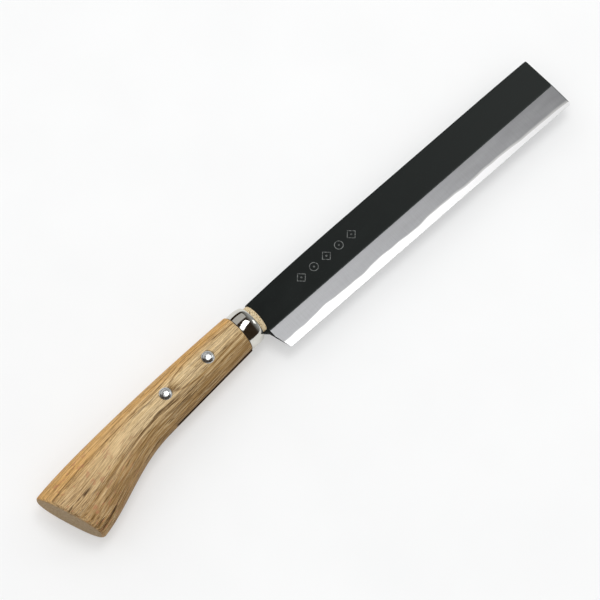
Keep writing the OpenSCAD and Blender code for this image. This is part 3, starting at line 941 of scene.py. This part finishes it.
def grain_fields(points):
    """For each point of the wood: the grain's own coordinates, the growth-ring count, the open
    grooves with the painted shade beside the saw cut, and how far it lies on the yellow back or on the
    rough belly."""
    x, y, z = points.T
    s = -x
    top = back_y(clamp01(s / BACK_LEN) * BACK_LEN)
    bottom = belly_y(np.clip(s, 0, BELLY_LEN))
    mid_y, half = (top + bottom) / 2, (top - bottom) / 2
    across, up = (y - mid_y) / half, z / HALF_T
    grain = np.column_stack([x, across * GRAIN_HALF_W, up * GRAIN_HALF_T])
    angle = np.arctan2(up, across)
    # Rings lie nearly flat, so they show as long ellipses on the crown and crowd at the sides.
    drift = (0.2 * noise2(x / 40, angle * 1.1, SEED + 11)
             + 0.08 * noise2(x / 11, angle * 3, SEED + 12))
    swell = 1.2 * np.exp(-((s - 30) / np.where(s < 30, 48, 17)) ** 2)
    from_pith = np.hypot(across * GRAIN_HALF_W + 0.8, z + PITH_DEPTH)
    ring = (from_pith - CROWN_R + swell + drift) / RING_MM
    # Grooves: long hair lines where a wandering field passes zero, opened at some places
    fine = np.abs(noise2(x / 30, angle * 15, SEED + 16)
                  + 0.3 * noise2(x / 9, angle * 26, SEED + 17))
    coarse = np.abs(noise2(x / 42 + 9, angle * 8.0, SEED + 19)
                    + 0.25 * noise2(x / 13, angle * 16, SEED + 20))
    open_here = smooth((noise2(x / 18, angle * 3.2, SEED + 21) + 0.2) / 0.5)
    belly = smooth((-0.1 - across) / 0.7)
    flare = smooth((s - 20) / 60) * smooth((0.0 - across) / 0.4)
    flare = np.maximum(flare, 0.8 * smooth((s - 95) / 30) * smooth((0.35 - across) / 0.4))
    near_butt = smooth((s - 100) / 25) * smooth((0.3 - across) / 0.5)
    hair = smooth((0.16 - fine) / 0.12) * (0.35 + 0.65 * open_here)
    deep = smooth((0.14 - coarse) / 0.08) * (0.3 + 0.7 * open_here)
    groove_and_slot_shade = clamp01(hair * (0.1 + 0.65 * flare + 0.35 * near_butt) + deep * (0.05 + 0.95 * flare))
    # Painted shade: the wood beside the saw cut is darkened, for the shadow along the cut.
    slot_edge_shade = (smooth((2.3 - np.abs(z)) / 0.8) * smooth((-across) / 0.3)
              * smooth((x - TANG_END_X + 1.6) / 0.9))
    groove_and_slot_shade = np.maximum(groove_and_slot_shade, 0.9 * slot_edge_shade)
    back = smooth((across - 0.2) / 0.45) * (0.75 + 0.25 * noise2(x / 30, y / 3, SEED + 18))
    return grain, ring, groove_and_slot_shade, back, belly


def in_saw_cut(polygon, half_slot):
    """Whether a face belongs to the walls of the cut that takes the tang."""
    x, y, z = from_row(polygon.center)
    nx, ny, nz = polygon.normal
    rear = TANG_END_X - SLOT_FIT
    side_wall = abs(nz) > 0.98 and abs(abs(z) - half_slot) < 0.01 and x > rear
    end_wall = abs(nx) > 0.98 and abs(x - rear) < 0.01 and abs(z) < half_slot
    roof = ny < -0.9 and abs(z) < half_slot and x > rear and y > TANG_TOP_REAR - 1
    return side_wall or end_wall or roof


def make_handle(oak, slot_shade):
    rings = handle_rings()
    points = np.concatenate(rings)
    piece = mesh_piece("oak_handle", points, ring_faces(len(rings), AROUND))
    recalculate_outside(piece)
    slot_low = float(belly_y(BELLY_LEN)) - 4
    half_slot = TANG_T / 2 + SLOT_FIT
    slot = prism("slot", [
        (TENON_X + 2, slot_low),
        (TENON_X + 2, TANG_TOP_FRONT + SLOT_FIT),
        (0.0, TANG_TOP_FRONT + SLOT_FIT),
        (TANG_END_X - SLOT_FIT, TANG_TOP_REAR + SLOT_FIT),
        (TANG_END_X - SLOT_FIT, slot_low),
    ][::-1], -half_slot, half_slot)
    carve(piece, slot)
    carve(piece, rivet_drill(TUBE_R + RIVET_FIT, -HALF_T - 2, HALF_T + 2))
    head_r = from_row(box_of("rivet_front_male")[1])[0] - RIVETS[0][0]
    carve(piece, rivet_drill(head_r + RIVET_FIT, SEAT_Z, HALF_T + 4))
    carve(piece, rivet_drill(head_r + RIVET_FIT, -HALF_T - 4, -SEAT_Z))
    points = vertices_mm(piece)
    normals = vertex_normals(piece)
    grain, ring, groove_and_slot_shade, back, belly = grain_fields(points)
    end_grain = smooth((np.abs(normals[:, 0]) - 0.75) / 0.15)
    on_skin = (points[:, 0] < -0.5) & (end_grain < 0.5) & (np.abs(points[:, 2]) > 2.5)
    depth = GROOVE_DEPTH * groove_and_slot_shade * on_skin
    set_vertices_mm(piece, points - normals * depth[:, None])
    fields = {"grain": grain, "ring": ring, "groove_and_slot_shade": GROOVE_DARKNESS * groove_and_slot_shade * (1 - end_grain),
              "back": back, "belly": belly, "end_grain": end_grain * (points[:, 0] < 0),
              "nose": smooth((points[:, 0] - 1) / 2)}
    for attribute, values in fields.items():
        store(piece, attribute, values)
    piece.data.materials.clear()
    piece.data.materials.append(oak)
    piece.data.materials.append(slot_shade)
    # The walls of the saw cut take the painted shade.
    for polygon in piece.data.polygons:
        polygon.material_index = 1 if in_saw_cut(polygon, half_slot) else 0
    shade(piece, 40)
    keep_inside(piece)
    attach(piece, "root")
    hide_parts("handle")


# -------- ferrule and rivets

def barrel_r(x):
    """Outer radius of the ferrule, x from its base."""
    if x < FERRULE_MAX_X:
        return FERRULE_BASE_R + (FERRULE_R - FERRULE_BASE_R) * (1 - (1 - x / FERRULE_MAX_X) ** 2)
    t = (x - FERRULE_MAX_X) / (FERRULE_LEN - FERRULE_MAX_X)
    return FERRULE_MOUTH_R + (FERRULE_R - FERRULE_MOUTH_R) * max(0.0, 1 - t ** 2.6) ** 0.5


def make_ferrule(plate):
    outer = [FERRULE_LEN * (1 - (1 - i / 60) ** 1.6) for i in range(61)]
    inner_mouth = FERRULE_MOUTH_R - FERRULE_WALL
    profile = [(0.0, FERRULE_BASE_R - FERRULE_EDGE)]
    profile += [(max(x, FERRULE_EDGE), barrel_r(max(x, FERRULE_EDGE))) for x in outer[:-1]]
    profile += [(FERRULE_LEN, barrel_r(FERRULE_LEN)), (FERRULE_LEN, inner_mouth + 0.1),
                (FERRULE_LEN - FERRULE_EDGE, inner_mouth),
                (FERRULE_LEN - FERRULE_WALL, inner_mouth),
                (FERRULE_LEN - FERRULE_LIP, FERRULE_BORE_R), (0.0, FERRULE_BORE_R)]
    piece = lathe("plated_ferrule", profile, 128, lambda x, a, b: (x, a, b))
    recalculate_outside(piece)
    piece.data.materials.append(plate)
    shade(piece, 28)
    keep_inside(piece)
    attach(piece, "root")
    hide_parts("ferrule")


def dome(head_r):
    """Head profile from its seat to the top, as (height, radius): a small rim, then a crown
    that is flatter in the middle than at its shoulders."""
    rise = HEAD_H - HEAD_RIM
    radii = head_r * np.sin(np.linspace(math.pi / 2, 0, 24))
    curve = [(HEAD_RIM + rise * (1 - (r / head_r) ** 3.2) ** 0.8, r) for r in radii]
    return [(0.0, head_r - HEAD_EDGE), (HEAD_EDGE, head_r)] + curve[:-1] + [(HEAD_H, 0.0)]


def make_rivet_half(name, node, steel, male):
    low, high = box_of(node)
    middle = from_row((low + high) / 2)
    head_r = from_row(high)[0] - middle[0]
    head = [(SEAT_Z + h, r) for h, r in dome(head_r)]
    if male:
        end = -from_row(low)[2]
        profile = [(-end, 0.0), (-end, SHANK_R - SHANK_EDGE), (-end + SHANK_EDGE, SHANK_R),
                   (SEAT_Z, SHANK_R)] + head
        side = 1
    else:
        mouth = from_row(high)[2]
        profile = [(SEAT_Z - HEAD_RIM, 0.0), (SEAT_Z - HEAD_RIM, TUBE_BORE_R),
                   (-mouth, TUBE_BORE_R), (-mouth, TUBE_R - TUBE_EDGE),
                   (-mouth + TUBE_EDGE, TUBE_R), (SEAT_Z, TUBE_R)] + head
        side = -1
    piece = lathe(name, profile, 72,
                  lambda h, a, b: (middle[0] + a, middle[1] + b, side * h))
    recalculate_outside(piece)
    piece.data.materials.append(steel)
    shade(piece, 35)
    keep_inside(piece)
    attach(piece, "root")
    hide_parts(node)


# -------- the sickle

scale, ground_iron = forged_black_scale(), ground_soft_iron()
hard_steel, oak_wood = honed_hard_steel(), planed_oak()
plate, rivet_steel, marked = nickel_plate(), polished_rivet_steel(), cut_mark_iron()

make_cladding(0, "iron_cladding_upper", "blade_cladding_upper", scale, ground_iron, marked)
make_cladding(1, "iron_cladding_lower", "blade_cladding_lower", scale, ground_iron, marked)
make_core(hard_steel, scale)
make_handle(oak_wood, painted_slot_shade())
make_ferrule(plate)
for place in ("front", "rear"):
    for half in ("male", "female"):
        node = f"rivet_{place}_{half}"
        make_rivet_half(node + "_head", node, rivet_steel, half == "male")


# -------- floor, light and camera

bounds_low, bounds_high = (np.array(corner) for corner in cad_bounds)
MIDDLE = (bounds_low + bounds_high) / 2


def look_from(thing, eye, target):
    thing.location = Vector(eye)
    thing.rotation_euler = (Vector(target) - Vector(eye)).to_track_quat("-Z", "Y").to_euler()


def make_floor(acrylic):
    """The sickle lies on its rivet heads, at the model's lowest point."""
    reach = 30.0
    gap = 0.00005
    level = bounds_low[2] - gap
    corners = [(-reach, -reach), (reach, -reach), (reach, reach), (-reach, reach)]
    mesh = bpy.data.meshes.new("acrylic_table")
    mesh.from_pydata([(x, y, level) for x, y in corners], [], [(0, 1, 2, 3)])
    floor = new_object("acrylic_table", mesh)
    floor.data.materials.append(acrylic)


def softbox(name, place, size, power):
    """A rectangular white light at a place in metres from the sickle's middle, facing it."""
    light = bpy.data.lights.new(name, "AREA")
    light.shape = "RECTANGLE"
    light.size, light.size_y = size
    light.energy = power
    look_from(new_object(name, light), MIDDLE + np.array(place), MIDDLE)


def make_room(fill, dark, pale, backdrop):
    """The room gives a pale fill. In the polished metal it shows dark, but for a pale wall
    beyond the blade's tip. Behind the sickle it stands as a pale backdrop."""
    world = bpy.data.worlds.new("room")
    world.use_nodes = True
    tree = world.node_tree
    tree.nodes.clear()
    path = add(tree, "LightPath")
    towards = add(tree, "TexCoord").outputs["Generated"]
    tipwards = add(tree, "SeparateXYZ", {0: towards})
    wall = add(tree, "ValToRGB", {0: tipwards}, [(0.42, 0.0), (0.75, 1.0)])
    reflected = add(tree, "Mix", {0: wall, "A": dark, "B": pale}, data_type="RGBA")
    seen = add(tree, "Mix", {0: path.outputs["Is Glossy Ray"], "A": fill, "B": reflected},
               data_type="RGBA")
    seen = add(tree, "Mix", {0: path.outputs["Is Camera Ray"], "A": seen, "B": backdrop},
               data_type="RGBA")
    background = add(tree, "Background", {"Color": seen, "Strength": 1.0})
    add(tree, "OutputWorld", {"Surface": background})
    bpy.context.scene.world = world


def make_camera():
    # The view is centred a little towards the handle and the spine.
    aim = MIDDLE + np.array([-6.2, 3.6, 0]) * MM
    elevation, turn = math.radians(67.5), math.radians(43.27)
    distance = 1.3845
    away = np.array([-math.sin(turn) * math.cos(elevation),
                     -math.cos(turn) * math.cos(elevation), math.sin(elevation)])
    lens = bpy.data.cameras.new("camera")
    lens.lens = 156
    lens.clip_start = 0.01
    camera = new_object("camera", lens)
    look_from(camera, aim + distance * away, aim)
    bpy.context.scene.camera = camera


make_floor(opal_acrylic())
softbox("side_key", (-0.1, 1.45, 1.15), (2.2, 1.4), 5.1)
softbox("overhead", (0.27, 0.12, 1.37), (0.55, 0.45), 3.95)
softbox("top_card", (-0.13, -0.08, 1.4), (0.62, 0.52), 1.75)
softbox("end_card", (1.05, -0.3, 0.8), (0.5, 0.5), 1.1)
make_room("#dbdcdc", "#33291f", "#a3a5a6", "#dcdddd")
make_camera()
bpy.context.scene.view_settings.view_transform = "Standard"
